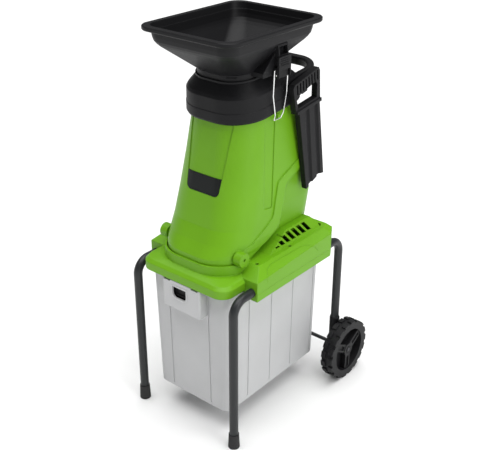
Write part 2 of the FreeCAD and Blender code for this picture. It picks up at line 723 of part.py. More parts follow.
def rim_lip():
    """The wide rolled edge of the hopper."""
    wires = [
        level_section(134.5, RIM_FRONT_Y + 2, RIM_REAR_Y - 2, RIM_CORNER_R - 2, 989.5),
        level_section(RIM_X, RIM_FRONT_Y, RIM_REAR_Y, RIM_CORNER_R, 992.0),
        level_section(RIM_X, RIM_FRONT_Y, RIM_REAR_Y, RIM_CORNER_R, 998.0),
        level_section(134.5, RIM_FRONT_Y + 2, RIM_REAR_Y - 2, RIM_CORNER_R - 2, RIM_TOP_Z),
    ]
    return loft(wires)


def latch_bracket():
    """A box on the side of the hopper, with a deep slot above the lever and a wing in front."""
    end_view = [(60.0, 900.0), (88.0, 893.5), (94.0, 887.0), (121.0, 887.0),
                (121.0, 944.0), (118.0, 962.0), (60.0, 962.0)]
    body = xz_prism(end_view, LATCH_Y - BRACKET_HALF, LATCH_Y + BRACKET_HALF)
    wing_view = [(LATCH_Y, 960.0), (LATCH_Y, 894.0), (LATCH_Y - 58.0, 894.0), (LATCH_Y - 58.0, 904.0)]
    wing = yz_prism(wing_view, 60.0, 110.0)
    slot_half = BRACKET_HALF - 3.5
    slot = box(108.5, 130.0, LATCH_Y - slot_half, LATCH_Y + slot_half, 938.5, 957.0)
    return body.fuse(wing).cut(slot)


def latch_axis_rod(radius, centre, half_length):
    x, z = centre
    return rod(radius, (x, LATCH_Y - half_length, z), (x, LATCH_Y + half_length, z))


def hopper():
    inner = hopper_solid(-WALL, 70.0)
    seat = loft([neck_section(4.0, height) for height in (86.1, 91.0)])
    top_cut = loft([
        level_section(119.0, -215.5, 96.5, 31.0, 985.0),
        level_section(121.5, -218.0, 99.0, 31.0, RIM_TOP_Z + 1),
    ])
    body = hopper_solid(0, 76.0).fuse([seat, rim_lip(), both_sides(latch_bracket())])
    pin_bore = both_sides(latch_axis_rod(2.0, LATCH_PIVOT, BRACKET_HALF + 1))
    return body.cut([inner, top_cut, pin_bore])


def latch_lever():
    """A lever with two cheeks outside the bracket, folded up against the hopper."""
    plate = box(122.5, 125.5, LATCH_Y - LEVER_HALF, LATCH_Y + LEVER_HALF, 905.0, 936.0)
    plate = plate.makeFillet(3.0, [edge for edge in plate.Edges if edge.BoundBox.XLength > 2 and edge.BoundBox.ZMin > 930])
    cheek_view = [(113.0, 888.5), (125.5, 888.5), (125.5, 934.0), (122.5, 934.0), (119.0, 911.0), (111.0, 910.0)]
    cheeks = []
    for side in (-1, 1):
        inner_y = LATCH_Y + side * (BRACKET_HALF + 1.5)
        outer_y = LATCH_Y + side * LEVER_HALF
        cheeks.append(xz_prism(cheek_view, min(inner_y, outer_y), max(inner_y, outer_y)))
    lever = plate.fuse(cheeks)
    pin_bore = latch_axis_rod(2.0 + RUNNING_GAP, LATCH_PIVOT, LEVER_HALF + 1)
    wire_bore = latch_axis_rod(WIRE_R + RUNNING_GAP, WIRE_PIVOT, LEVER_HALF + 1)
    return lever.cut([pin_bore, wire_bore])


def wire_shape(points, radius):
    """A wire through points: straight rods with a ball at each bend."""
    rods = [rod(radius, start, end) for start, end in zip(points[:-1], points[1:])]
    balls = [Part.makeSphere(radius, Vector(*point)) for point in points[1:-1]]
    return rods[0].fuse(rods[1:] + balls)


def latch_wire():
    """The wire loop: its ends turn in the lever, its foot hooks under a catch."""
    half_top = LEVER_HALF + 2.2
    half_foot = 12.0
    points = []
    for side in (-1, 1):
        leg = [
            (WIRE_PIVOT[0], LATCH_Y + side * (BRACKET_HALF + 2.0), WIRE_PIVOT[1]),
            (WIRE_PIVOT[0], LATCH_Y + side * half_top, WIRE_PIVOT[1]),
            (112.6, LATCH_Y + side * (half_top + 0.5), 846.0),
            (111.6, LATCH_Y + side * (half_foot + 3.0), 800.0),
            (106.2, LATCH_Y + side * half_foot, 785.5),
        ]
        points += leg if side < 0 else leg[::-1]
    return wire_shape(points, WIRE_R)


def latch_catch():
    """The ledge on the upper housing that the wire hooks under."""
    end_view = [(94.0, 788.3), (109.0, 788.3), (108.0, 793.0), (104.0, 797.0), (94.0, 797.0)]
    return xz_prism(end_view, LATCH_Y - 8.0, LATCH_Y + 8.0)


def carry_handle():
    """A loop of rounded bar round the rear of the collar."""
    side_x = 97.0
    rear_y = 152.0
    bend = 62.0
    start_y = -10.0
    height = 50.0
    half_width = 9.0
    half_depth = 12.0
    z = COLLAR_Z + height
    diagonal = bend * math.sqrt(0.5)
    right_bend = Vector(side_x - bend, rear_y - bend, z)
    left_bend = Vector(bend - side_x, rear_y - bend, z)
    right_arc = Part.Arc(right_bend + Vector(bend, 0, 0), right_bend + Vector(diagonal, diagonal, 0),
                         right_bend + Vector(0, bend, 0))
    left_arc = Part.Arc(left_bend + Vector(0, bend, 0), left_bend + Vector(-diagonal, diagonal, 0),
                        left_bend + Vector(-bend, 0, 0))
    path = Part.Wire([
        Part.makeLine(Vector(side_x, start_y, z), Vector(side_x, rear_y - bend, z)),
        right_arc.toShape(),
        Part.makeLine(Vector(side_x - bend, rear_y, z), Vector(bend - side_x, rear_y, z)),
        left_arc.toShape(),
        Part.makeLine(Vector(-side_x, rear_y - bend, z), Vector(-side_x, start_y, z)),
    ])
    profile = rounded_wire(half_width, half_depth, 6.0)
    profile.rotate(Vector(0, 0, 0), Vector(1, 0, 0), 90)
    profile.translate(Vector(side_x, start_y, z))
    handle = path.makePipeShell([profile], True, False)
    handle.rotate(Vector(0, COLLAR_Y, COLLAR_Z), Vector(1, 0, 0), LEAN_DEG)
    filled_collar = loft(collar_wires(0.15))
    return handle.cut(filled_collar)


# ---------------------------------------------------------------- pusher

def pusher_frame(shape):
    """Moves a shape from the pusher's own frame, which leans back and starts at the grip."""
    shape.translate(Vector(0, PUSHER_TOP_Y, PUSHER_TOP_Z))
    shape.rotate(Vector(0, PUSHER_TOP_Y, PUSHER_TOP_Z), Vector(1, 0, 0), PUSHER_LEAN_DEG)
    return shape


def pusher_grip():
    """A D grip with a deep top bar, which has finger grooves in its outer face."""
    outline = [(-51.0, -14.0), (-46.0, -73.0), (49.0, -73.0), (53.0, -4.0), (49.0, 4.5), (-45.0, -6.0)]
    hole = [(-41.0, -43.0), (-37.0, -66.0), (36.0, -66.0), (40.0, -34.0), (34.0, -25.0), (-36.0, -37.0)]
    grip = yz_prism(outline, PUSHER_IN_X, PUSHER_OUT_X)
    grip = grip.cut(yz_prism(hole, PUSHER_IN_X - 1, PUSHER_OUT_X + 1))
    grooves = []
    for index in range(8):
        y = -36.0 + 11.2 * index
        rise = 0.11 * (y + 45.0)
        grooves.append(box(PUSHER_OUT_X - 5.0, PUSHER_OUT_X + 1, y - 2.4, y + 2.4, rise - 34.0, rise - 10.0))
    return grip.cut(grooves)


def pusher_paddle():
    """The blade: two broad ridges on its outer face and a hollowed lower end."""
    outline = [(-34.0, -76.0), (47.0, -76.0), (50.0, -275.0), (38.0, -272.0), (20.0, -273.5),
               (2.0, -278.5), (-13.0, -284.5), (-22.5, -287.0)]
    plan = [(PUSHER_IN_X + 2, -36.0), (PUSHER_OUT_X, -36.0), (PUSHER_OUT_X, -12.0),
            (PUSHER_OUT_X - 4, -8.5), (PUSHER_OUT_X - 4, 1.0), (PUSHER_OUT_X, 4.5), (PUSHER_OUT_X, 22.0),
            (PUSHER_OUT_X - 4, 25.5), (PUSHER_OUT_X - 4, 35.0), (PUSHER_OUT_X, 38.5), (PUSHER_OUT_X, 52.0),
            (PUSHER_IN_X + 2, 52.0)]
    return yz_prism(outline, PUSHER_IN_X, PUSHER_OUT_X).common(xy_prism(plan, -290.0, -70.0))


def pusher():
    """The tamper: grip, guard flange and paddle."""
    guard = box(PUSHER_IN_X - 0.5, PUSHER_OUT_X + 3.0, -44.0, 51.0, -80.0, -72.0)
    return pusher_frame(pusher_grip().fuse([guard, pusher_paddle()]))


def pusher_peg():
    """The peg beside the carry handle that the grip's top bar hangs on."""
    peg = yz_prism([(-10.0, -33.0), (10.0, -29.6), (10.0, -40.0), (-10.0, -42.0)], 103.0, PUSHER_IN_X + 9.0)
    stem = box(103.0, PUSHER_IN_X - 0.6, -12.0, 12.0, -43.0, -10.0)
    return pusher_frame(peg.fuse(stem))


def build_top():
    handle = carry_handle()
    write("collar", collar())
    write("hopper", hopper())
    write("carry_handle", handle.fuse(pusher_peg()).cut(loft(collar_wires(0.15))))
    write("pusher", pusher())
    pin = latch_axis_rod(2.0, LATCH_PIVOT, LEVER_HALF)
    write("latch_pins", both_sides(pin))
    for word, place in (("right", lambda shape: shape), ("left", mirrored)):
        write(f"latch_lever_{word}", place(latch_lever()))
        write(f"latch_wire_{word}", place(latch_wire()))


# ---------------------------------------------------------------- bin

def bin_wire(offset, z):
    share = (z - BIN_BOTTOM_Z) / (BIN_TOP_Z - BIN_BOTTOM_Z)
    half = BIN_BOTTOM_X + share * (BIN_TOP_X - BIN_BOTTOM_X) + offset
    front = BIN_BOTTOM_FRONT_Y + share * (BIN_TOP_FRONT_Y - BIN_BOTTOM_FRONT_Y) - offset
    rear = BIN_BOTTOM_REAR_Y + share * (BIN_TOP_REAR_Y - BIN_BOTTOM_REAR_Y) + offset
    return level_section(half, front, rear, BIN_CORNER_R + offset, z)


def groove_cutters():
    """Upright grooves in the bin's walls, which follow the draft."""
    draft = math.degrees(math.atan((BIN_TOP_X - BIN_BOTTOM_X) / (BIN_TOP_Z - BIN_BOTTOM_Z)))
    low_z = BIN_BOTTOM_Z + 12.0
    depth = 1.6
    cutters = []
    for y in (-150.0, -62.0, 26.0, 114.0):
        groove = box(BIN_BOTTOM_X - depth, BIN_BOTTOM_X + 5, y - 2.5, y + 2.5, low_z, 420.0)
        groove.rotate(Vector(BIN_BOTTOM_X, y, BIN_BOTTOM_Z), Vector(0, 1, 0), draft)
        cutters.append(both_sides(groove))
    for x in (-64.0, 64.0):
        front = box(x - 2.5, x + 2.5, BIN_BOTTOM_FRONT_Y - 5, BIN_BOTTOM_FRONT_Y + depth, low_z, 420.0)
        front.rotate(Vector(x, BIN_BOTTOM_FRONT_Y, BIN_BOTTOM_Z), Vector(1, 0, 0), draft)
        rear = box(x - 2.5, x + 2.5, BIN_BOTTOM_REAR_Y - depth, BIN_BOTTOM_REAR_Y + 5, low_z, 420.0)
        rear.rotate(Vector(x, BIN_BOTTOM_REAR_Y, BIN_BOTTOM_Z), Vector(1, 0, 0), -draft)
        cutters += [front, rear]
    return cutters


def chip_bin():
    outer = loft([bin_wire(0, BIN_BOTTOM_Z), bin_wire(0, BIN_TOP_Z)])
    inner = loft([bin_wire(-BIN_WALL, BIN_BOTTOM_Z + BIN_WALL), bin_wire(-BIN_WALL, BIN_TOP_Z + 1)])
    flange = box(-131.0, 131.0, -176.0, 136.0, RAIL_TOP_Z + 0.35, RAIL_TOP_Z + 4.35)
    flange = flange.cut(loft([bin_wire(-0.5, BIN_TOP_Z - 8), bin_wire(-0.5, BIN_TOP_Z + 4)]))
    bottom = [edge for edge in outer.Edges if edge.BoundBox.ZMax < BIN_BOTTOM_Z + 0.1]
    outer = outer.makeFillet(5.0, bottom)
    outer = outer.cut(groove_cutters())
    return outer.fuse(flange).cut(inner)


def lock_housing():
    """The block on the bin's front that holds the lock slider behind a finger window."""
    end_view = [(LOCK_FRONT_Y, LOCK_LOW_Z), (LOCK_FRONT_Y, LOCK_TOP_Z), (-225.0, LOCK_TOP_Z), (-225.0, LOCK_LOW_Z)]
    block = yz_prism(end_view, -LOCK_HALF, LOCK_HALF)
    upright = [edge for edge in block.Edges if edge.BoundBox.ZLength > 50 and edge.BoundBox.YMax < LOCK_FRONT_Y + 0.1]
    block = block.makeFillet(4.0, upright)
    block = block.cut(loft([bin_wire(0.02, 300.0), bin_wire(0.02, BIN_TOP_Z + 20)]))
    shaft = box(LOCK_X - 31.0, LOCK_X + 31.0, LOCK_FRONT_Y + 4.0, -236.5, LOCK_LOW_Z + 4, LOCK_TOP_Z + 1)
    notches = [box(low_x, low_x + 22.0, LOCK_FRONT_Y - 1, LOCK_FRONT_Y + 8, LOCK_TOP_Z - 4, LOCK_TOP_Z + 1)
               for low_x in (-57.0, 32.0)]
    lip = window_prism(3.5, LOCK_FRONT_Y - 1.6, LOCK_FRONT_Y + 1.0)
    window = window_prism(0.0, LOCK_FRONT_Y - 3.0, -240.0)
    return block.fuse(lip).cut([shaft, window] + notches)


def window_prism(offset, front_y, rear_y):
    """The outline of the finger window: a flat top edge and a round lower edge."""
    half, radius = WINDOW_HALF + offset, WINDOW_R + offset
    low, top = WINDOW_LOW_Z - offset, WINDOW_TOP_Z + offset
    middle = LOCK_X
    upper = box(middle - half, middle + half, front_y, rear_y, low + radius, top)
    lower = box(middle - half + radius, middle + half - radius, front_y, rear_y, low, low + radius)
    rounds = [
        rod(radius, (middle + side * (half - radius), front_y, low + radius),
            (middle + side * (half - radius), rear_y, low + radius))
        for side in (-1, 1)
    ]
    return upper.fuse([lower] + rounds)


def lock_slider():
    """The slider: a finger plate with a grip rib, and a tongue that rises into the base cover."""
    front = LOCK_FRONT_Y + 9.0
    plate = box(LOCK_X - 30.0, LOCK_X + 30.0, front, front + 3.0, LOCK_LOW_Z + 5.0, 399.0)
    tongue = box(LOCK_X - 13.0, LOCK_X + 13.0, front + 2.0, -238.5, 382.0, LOCK_TOP_Z)
    grip = box(LOCK_X - 15.0, LOCK_X + 15.0, front - 3.0, front + 1.0, 371.0, 375.0)
    return plate.fuse([tongue, grip])


def build_bin():
    write("collecting_bin", chip_bin())
    write("bin_lock_housing", lock_housing())
    write("bin_lock_slider", lock_slider())


# ---------------------------------------------------------------- knives and motor

def motor_frame(shape):
    """Moves a shape from the motor's own frame (axis +Y towards the rear, disc at the origin)."""
    shape.rotate(Vector(0, 0, 0), Vector(1, 0, 0), -DISC_TILT_DEG)
    shape.translate(Vector(0, DISC_Y, DISC_Z))
    return shape


def motor_disc(radius, low_y, high_y):
    return rod(radius, (0, low_y, 0), (0, high_y, 0))


def knife_disc():
    disc = motor_disc(DISC_R, 0.0, 8.0)
    hub = motor_disc(16.0, 8.0, 13.0)
    slots = [box(-30.0, -24.0, -2, 10, 22.0, 56.0), box(24.0, 30.0, -2, 10, -56.0, -22.0)]
    return motor_frame(disc.fuse(hub).cut(slots + [motor_disc(SHAFT_R, -5, 20)]))


def knives():
    blades = []
    for turn in (0.0, 180.0):
        blade = box(-24.0, 4.0, -5.0, -0.0, 20.0, 60.0)
        bevel_end = [Vector(-24.5, 0.5, 19), Vector(-24.5, -5.5, 19), Vector(-18.0, -5.5, 19)]
        bevel = polygon_prism(bevel_end, Vector(0, 0, 42))
        blade = blade.cut([bevel, rod(3.0, (-8, -8, 30), (-8, 8, 30)), rod(3.0, (-8, -8, 50), (-8, 8, 50))])
        blade.rotate(Vector(0, 0, 0), Vector(0, 1, 0), turn)
        blades.append(blade)
    return motor_frame(Part.makeCompound(blades))


def knife_screws():
    screws = []
    for turn in (0.0, 180.0):
        for z in (30.0, 50.0):
            screw = rod(3.0, (-8, -5, z), (-8, 0, z)).fuse(rod(5.0, (-8, -8, z), (-8, -5, z)))
            screw.rotate(Vector(0, 0, 0), Vector(0, 1, 0), turn)
            screws.append(screw)
    return motor_frame(Part.makeCompound(screws))


def disc_nut():
    nut = motor_disc(10.0, -7.0, 0.0)
    angles = [math.radians(60.0 * index) for index in range(6)]
    corners = [Vector(10.0 * math.cos(angle), -7.0, 10.0 * math.sin(angle)) for angle in angles]
    nut = nut.common(polygon_prism(corners, Vector(0, 7.0, 0)))
    return motor_frame(nut.cut(motor_disc(SHAFT_R, -10, 5)))


def motor_shaft():
    return motor_frame(motor_disc(SHAFT_R, -8.0, 132.0))


def rotor_core():
    core = motor_disc(30.0, 34.0, 96.0)
    windings = motor_disc(24.0, 31.0, 102.0)
    return motor_frame(core.fuse(windings).cut(motor_disc(SHAFT_R, 0, 140)))


def cooling_fan():
    hub = motor_disc(12.0, 122.0, 131.0)
    back = motor_disc(42.0, 122.0, 124.0)
    blades = []
    for index in range(9):
        blade = box(-1.0, 1.0, 123.0, 131.0, 10.0, 41.0)
        blade.rotate(Vector(0, 0, 0), Vector(0, 1, 0), 40.0 * index)
        blades.append(blade)
    return motor_frame(hub.fuse([back] + blades).cut(motor_disc(SHAFT_R, 100, 140)))


def motor_stator():
    can = motor_disc(MOTOR_R, 28.0, 104.0).cut(motor_disc(MOTOR_R - 3, 20, 110))
    core = motor_disc(MOTOR_R - 3, 36.0, 94.0).cut(motor_disc(31.0, 20, 110))
    return motor_frame(can.fuse(core))


def motor_bracket(low_y, high_y, seat_y):
    """An end bell with a seat for a ball bearing."""
    plate = motor_disc(MOTOR_R, low_y, high_y)
    boss = motor_disc(20.0, seat_y - 1.0, seat_y + 10.0)
    bore = motor_disc(SHAFT_R + 2.0, low_y - 30, high_y + 30)
    seat = motor_disc(14.0, seat_y, seat_y + 9.0)
    windows = []
    for index in range(4):
        window = rod(7.0, (0, low_y - 1, 37), (0, high_y + 1, 37))
        window.rotate(Vector(0, 0, 0), Vector(0, 1, 0), 90.0 * index + 45.0)
        windows.append(window)
    return motor_frame(plate.fuse(boss).cut([bore, seat] + windows))


def ball_bearing(seat_y):
    outer = motor_disc(14.0, seat_y, seat_y + 9.0).cut(motor_disc(11.5, seat_y - 1, seat_y + 10))
    inner = motor_disc(8.5, seat_y, seat_y + 9.0).cut(motor_disc(SHAFT_R + RUNNING_GAP, seat_y - 1, seat_y + 10))
    shield = motor_disc(11.5, seat_y + 2, seat_y + 7).cut(motor_disc(8.5, seat_y - 1, seat_y + 10))
    return motor_frame(outer.fuse([inner, shield]))


def bulkhead():
    """The steel plate across the fixed housing that carries the motor."""
    plate = motor_frame(box(-130, 130, 18.0, 22.0, -130, 130))
    plate = plate.common(loft(tower_wires(-WALL - 0.3)).cut(split_side(-SPLIT_GAP - WALL - 0.6)))
    plate = plate.common(box(-200, 200, -200, 200, DECK_Z + 0.5, 700))
    return plate.cut(motor_frame(motor_disc(20.0, 10, 30)))


def feed_funnel():
    """The throat inside the upper housing that leads branches to the knives."""
    outer_wires = [
        level_section(90.0, -140.0, 50.0, 74.0, 760.0),
        level_section(60.0, -128.0, 0.0, 40.0, 680.0),
        level_section(50.0, -112.0, -36.0, 20.0, 585.0),
    ]
    inner_wires = [
        level_section(88.0, -138.0, 48.0, 72.0, 761.0),
        level_section(58.0, -126.0, -2.0, 38.0, 680.0),
        level_section(48.0, -110.0, -38.0, 18.0, 584.0),
    ]
    return loft(outer_wires).cut(loft(inner_wires))


def discharge_duct():
    wires = [level_section(DUCT_X, DUCT_FRONT_Y, DUCT_REAR_Y, 15.0, z) for z in (PARTING_Z, DECK_Z - WALL - 0.5)]
    inner = [
        level_section(DUCT_X - WALL, DUCT_FRONT_Y + WALL, DUCT_REAR_Y - WALL, 12.0, z)
        for z in (PARTING_Z - 1, DECK_Z + 1)
    ]
    return loft(wires).cut(loft(inner))


def build_drive():
    write("knife_disc", knife_disc())
    write("knives", knives())
    write("knife_screws", knife_screws())
    write("disc_nut", disc_nut())
    write("motor_shaft", motor_shaft())
    write("rotor_core", rotor_core())
    write("cooling_fan", cooling_fan())
    write("motor_stator", motor_stator())
    write("motor_front_bracket", motor_bracket(22.0, 28.0, 19.0))
    write("motor_rear_bracket", motor_bracket(104.0, 110.0, 107.0))
    write("bearing_front", ball_bearing(19.0))
    write("bearing_rear", ball_bearing(107.0))
    write("bulkhead", bulkhead())
    write("feed_funnel", feed_funnel())
    write("discharge_duct", discharge_duct())


# ---------------------------------------------------------------- rear of the machine, fasteners

def knob_frame(shape):
    """Moves a shape from the knob's own frame (axis +Z up from the tab's top face)."""
    shape.rotate(Vector(0, 0, 0), Vector(1, 0, 0), KNOB_TILT_DEG)
    shape.translate(Vector(0, KNOB_Y, KNOB_Z))
    return shape


def locking_knob():
    """A lobed hand knob with a threaded stud."""
    knob = Part.makeCylinder(17.0, 16.0, Vector(0, 0, 1.0))
    knob = knob.makeFillet(3.0, [edge for edge in knob.Edges if edge.BoundBox.ZMin > 16.0])
    scoops = []
    for index in range(8):
        angle = math.radians(45.0 * index)
        scoops.append(Part.makeCylinder(4.0, 20, Vector(19.5 * math.cos(angle), 19.5 * math.sin(angle), 0)))
    stud = Part.makeCylinder(4.0, 22.0, Vector(0, 0, -20.0))
    return knob_frame(knob.cut(scoops).fuse(stud))


def knob_tab():
    """The tab on the back of the upper housing that the knob clamps down."""
    tab = knob_frame(box(-24.0, 24.0, -42.0, 16.0, -7.0, 0.0))
    return tab.common(split_side(0))


def button_rod(x, z, radius, front_y, rear_y):
    return rod(radius, (x, front_y, z), (x, rear_y, z))


def switch_box():
    """The box on the rear of the fixed housing that holds the buttons and the mains inlet."""
    body = box(-40.0, 40.0, 141.0, BOX_REAR_Y, 534.0, 614.0)
    upright = [edge for edge in body.Edges if edge.BoundBox.ZLength > 50 and edge.BoundBox.YMin > 160]
    body = body.makeFillet(5.0, upright)
    body = body.cut(loft(tower_wires(0.02)))
    hollow = box(-37.0, 37.0, 147.5, BOX_REAR_Y - 3.0, 537.0, 611.0)
    wells = [button_rod(x, BUTTON_Z, BUTTON_R + 0.35, 155.0, 170.0) for x in (-BUTTON_X, BUTTON_X)]
    wells.append(button_rod(0.0, RESET_Z, RESET_R + 0.35, 155.0, 170.0))
    wells.append(box(-14.02, 14.02, 149.0, 162.52, 530.0, 540.0))
    return body.cut([hollow] + wells)


def push_button(x, z, radius, proud):
    """A button: a cap in its well and a stop flange behind the front wall."""
    cap = button_rod(x, z, radius, 158.0, BOX_REAR_Y + proud)
    rim = [edge for edge in cap.Edges if edge.BoundBox.YMin > BOX_REAR_Y + proud - 0.1]
    cap = cap.makeFillet(1.2, rim)
    return cap.fuse(button_rod(x, z, radius + 2.0, 160.5, 162.5))


def mains_inlet():
    """The recessed inlet in the underside of the switch box, with three pins."""
    body = box(-14.0, 14.0, 149.02, 162.5, 522.0, 560.0 - 11.0)
    recess = box(-11.0, 11.0, 151.5, 160.0, 515.0, 540.0)
    pins = [box(x - 1.0, x + 1.0, 153.5, 158.0, 526.0, 541.0) for x in (-7.0, 0.0, 7.0)]
    return body.cut(recess).fuse(pins)


def interlock_switch():
    """The small switch over the tongue slot that senses a locked bin."""
    middle = LOCK_X
    body = box(middle - 10.0, middle + 10.0, LOBE_FRONT_Y + WALL, -240.0, 422.0, 430.5)
    plunger = Part.makeCylinder(1.8, 3.0, Vector(middle, -246.0, 419.6))
    return body.fuse(plunger)


def cover_screws():
    """Cross-head screws in the deep seats of the base cover."""
    screws = []
    for x, y in SCREW_XY:
        head = Part.makeCylinder(4.3, 3.0, Vector(x, y, SCREW_SEAT_Z))
        shank = Part.makeCylinder(2.0, SCREW_SEAT_Z - PARTING_Z, Vector(x, y, PARTING_Z))
        cross = [box(x - 2.6, x + 2.6, y - 0.5, y + 0.5, SCREW_SEAT_Z + 1.6, SCREW_SEAT_Z + 4),
                 box(x - 0.5, x + 0.5, y - 2.6, y + 2.6, SCREW_SEAT_Z + 1.6, SCREW_SEAT_Z + 4)]
        screw = head.fuse(shank).cut(cross)
        screws += [screw, mirrored(screw)]
    return Part.makeCompound(screws)


def build_details():
    write("front_badge", front_badge())
    write("interlock_switch", interlock_switch())
    write("switch_box", switch_box())
    write("start_button", push_button(-BUTTON_X, BUTTON_Z, BUTTON_R, 2.0))
    write("stop_button", push_button(BUTTON_X, BUTTON_Z, BUTTON_R, 3.5))
    write("reset_button", push_button(0.0, RESET_Z, RESET_R, 2.0))
    write("mains_inlet", mains_inlet())
    write("locking_knob", locking_knob())
    pin = rod(HINGE_PIN_R, (EAR_IN_X, HINGE_Y, HINGE_Z), (BOSS_OUT_X - 5.0, HINGE_Y, HINGE_Z))
    write("hinge_pins", both_sides(pin))
    write("cover_screws", cover_screws())


def main():
    os.makedirs("parts", exist_ok=True)
    build_frame()
    build_housing()
    build_top()
    build_bin()
    build_drive()
    build_details()


main()
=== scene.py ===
import json
import math

import bmesh
import bpy
from mathutils import Matrix, Vector
from mathutils.bvhtree import BVHTree


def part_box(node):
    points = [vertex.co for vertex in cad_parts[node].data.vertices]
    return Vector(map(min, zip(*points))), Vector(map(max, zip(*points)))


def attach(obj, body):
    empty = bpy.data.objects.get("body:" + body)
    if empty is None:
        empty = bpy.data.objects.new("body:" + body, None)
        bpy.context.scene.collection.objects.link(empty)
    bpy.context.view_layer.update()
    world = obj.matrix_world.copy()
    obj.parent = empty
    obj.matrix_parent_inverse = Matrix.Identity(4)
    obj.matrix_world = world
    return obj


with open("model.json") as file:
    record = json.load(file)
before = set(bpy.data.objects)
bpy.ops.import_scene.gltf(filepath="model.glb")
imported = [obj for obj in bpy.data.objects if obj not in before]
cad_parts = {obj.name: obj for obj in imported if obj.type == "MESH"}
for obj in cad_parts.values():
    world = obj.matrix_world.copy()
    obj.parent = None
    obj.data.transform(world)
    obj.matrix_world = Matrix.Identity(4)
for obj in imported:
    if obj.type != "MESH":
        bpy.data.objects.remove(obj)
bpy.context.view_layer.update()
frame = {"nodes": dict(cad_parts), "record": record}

# The looks of an electric garden shredder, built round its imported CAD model. Metres, +Z up, -Y is the
# front, +X the side that carries the pusher.

NODES = frame["nodes"]
RECORD = frame["record"]


# ---------------------------------------------------------------- camera, floor, light

CAMERA_PLACE = Vector((1.2414, -1.5190, 1.4534))
CAMERA_AZIMUTH = math.radians(39.24)
CAMERA_ELEVATION = math.radians(26.66)
CAMERA_ROLL = math.radians(0.28)
CAMERA_LENS_MM = 62.25

FLOOR_HALF = 60.0
FLOOR_GREY = (0.82, 0.82, 0.82, 1.0)

WORLD_STRENGTH = 0.17
CEILING_STRENGTH = 3.9
CEILING_SPREAD_DEG = 70.0
KEY_PLACE = (2.7, -0.3, 1.7)
KEY_TARGET = (0.0, 0.0, 0.5)
KEY_SIZE = (1.5, 1.5)
KEY_WATTS = 34.0


def make_camera():
    level = math.cos(CAMERA_ELEVATION)
    back = Vector((
        math.sin(CAMERA_AZIMUTH) * level,
        -math.cos(CAMERA_AZIMUTH) * level,
        math.sin(CAMERA_ELEVATION),
    ))
    level_right = Vector((math.cos(CAMERA_AZIMUTH), math.sin(CAMERA_AZIMUTH), 0.0))
    level_up = back.cross(level_right)
    right = math.cos(CAMERA_ROLL) * level_right + math.sin(CAMERA_ROLL) * level_up
    up = math.cos(CAMERA_ROLL) * level_up - math.sin(CAMERA_ROLL) * level_right
    data = bpy.data.cameras.new("camera")
    data.sensor_width = 36.0
    data.lens = CAMERA_LENS_MM
    data.clip_end = 200.0
    camera = bpy.data.objects.new("camera", data)
    bpy.context.scene.collection.objects.link(camera)
    place = Matrix((right, up, back)).transposed().to_4x4()
    place.translation = CAMERA_PLACE
    camera.matrix_world = place
    bpy.context.scene.camera = camera


def make_floor():
    half = FLOOR_HALF
    mesh = bpy.data.meshes.new("floor")
    corners = [(-half, -half, 0.0), (half, -half, 0.0), (half, half, 0.0), (-half, half, 0.0)]
    mesh.from_pydata(corners, [], [(0, 1, 2, 3)])
    floor = bpy.data.objects.new("floor", mesh)
    bpy.context.scene.collection.objects.link(floor)
    material = bpy.data.materials.new("floor")
    material.use_nodes = True
    shader = material.node_tree.nodes["Principled BSDF"]
    shader.inputs["Base Color"].default_value = FLOOR_GREY
    shader.inputs["Roughness"].default_value = 0.9
    shader.inputs["Specular IOR Level"].default_value = 0.1
    mesh.materials.append(material)


def area_light(name, place, target, size, watts):
    data = bpy.data.lights.new(name, "AREA")
    data.shape = "RECTANGLE"
    data.size, data.size_y = size
    data.energy = watts
    light = bpy.data.objects.new(name, data)
    bpy.context.scene.collection.objects.link(light)
    light.location = place
    light.rotation_euler = (Vector(target) - Vector(place)).to_track_quat("-Z", "Y").to_euler()


def sun_light(name, strength, spread_deg):
    """A broad ceiling light, straight down, which keeps the floor even to its edges."""
    data = bpy.data.lights.new(name, "SUN")
    data.energy = strength
    data.angle = math.radians(spread_deg)
    light = bpy.data.objects.new(name, data)
    bpy.context.scene.collection.objects.link(light)


def make_light():
    world = bpy.data.worlds.new("studio")
    world.use_nodes = True
    background = world.node_tree.nodes["Background"]
    background.inputs["Color"].default_value = (1.0, 1.0, 1.0, 1.0)
    background.inputs["Strength"].default_value = WORLD_STRENGTH
    bpy.context.scene.world = world
    sun_light("ceiling", CEILING_STRENGTH, CEILING_SPREAD_DEG)
    area_light("key", KEY_PLACE, KEY_TARGET, KEY_SIZE, KEY_WATTS)
    bpy.context.scene.view_settings.view_transform = "Standard"


# ---------------------------------------------------------------- materials

def node_of(tree, kind, **settings):
    node = tree.nodes.new(kind)
    for key, value in settings.items():
        if hasattr(node, key):
            setattr(node, key, value)
        else:
            node.inputs[key.replace("_", " ")].default_value = value
    return node


def shade(color, factor):
    return (*(min(1.0, channel * factor) for channel in color[:3]), 1.0)


def noise(tree, coordinates, scale, detail):
    texture = node_of(tree, "ShaderNodeTexNoise", Scale=scale, Detail=detail)
    tree.links.new(coordinates.outputs["Object"], texture.inputs["Vector"])
    return texture


def spread(tree, value, low, high):
    """Maps the middle of a noise onto low to high."""
    ramp = node_of(tree, "ShaderNodeMapRange")
    ramp.inputs["From Min"].default_value = 0.3
    ramp.inputs["From Max"].default_value = 0.7
    ramp.inputs["To Min"].default_value = low
    ramp.inputs["To Max"].default_value = high
    tree.links.new(value, ramp.inputs["Value"])
    return ramp.outputs["Result"]


def mixed(tree, factor, first, second):
    """A colour mix; first and second are colours or sockets."""
    mix = node_of(tree, "ShaderNodeMix", data_type="RGBA")
    tree.links.new(factor, mix.inputs["Factor"])
    for socket, value in ((mix.inputs[6], first), (mix.inputs[7], second)):
        if isinstance(value, tuple):
            socket.default_value = value
        else:
            tree.links.new(value, socket)
    return mix.outputs[2]


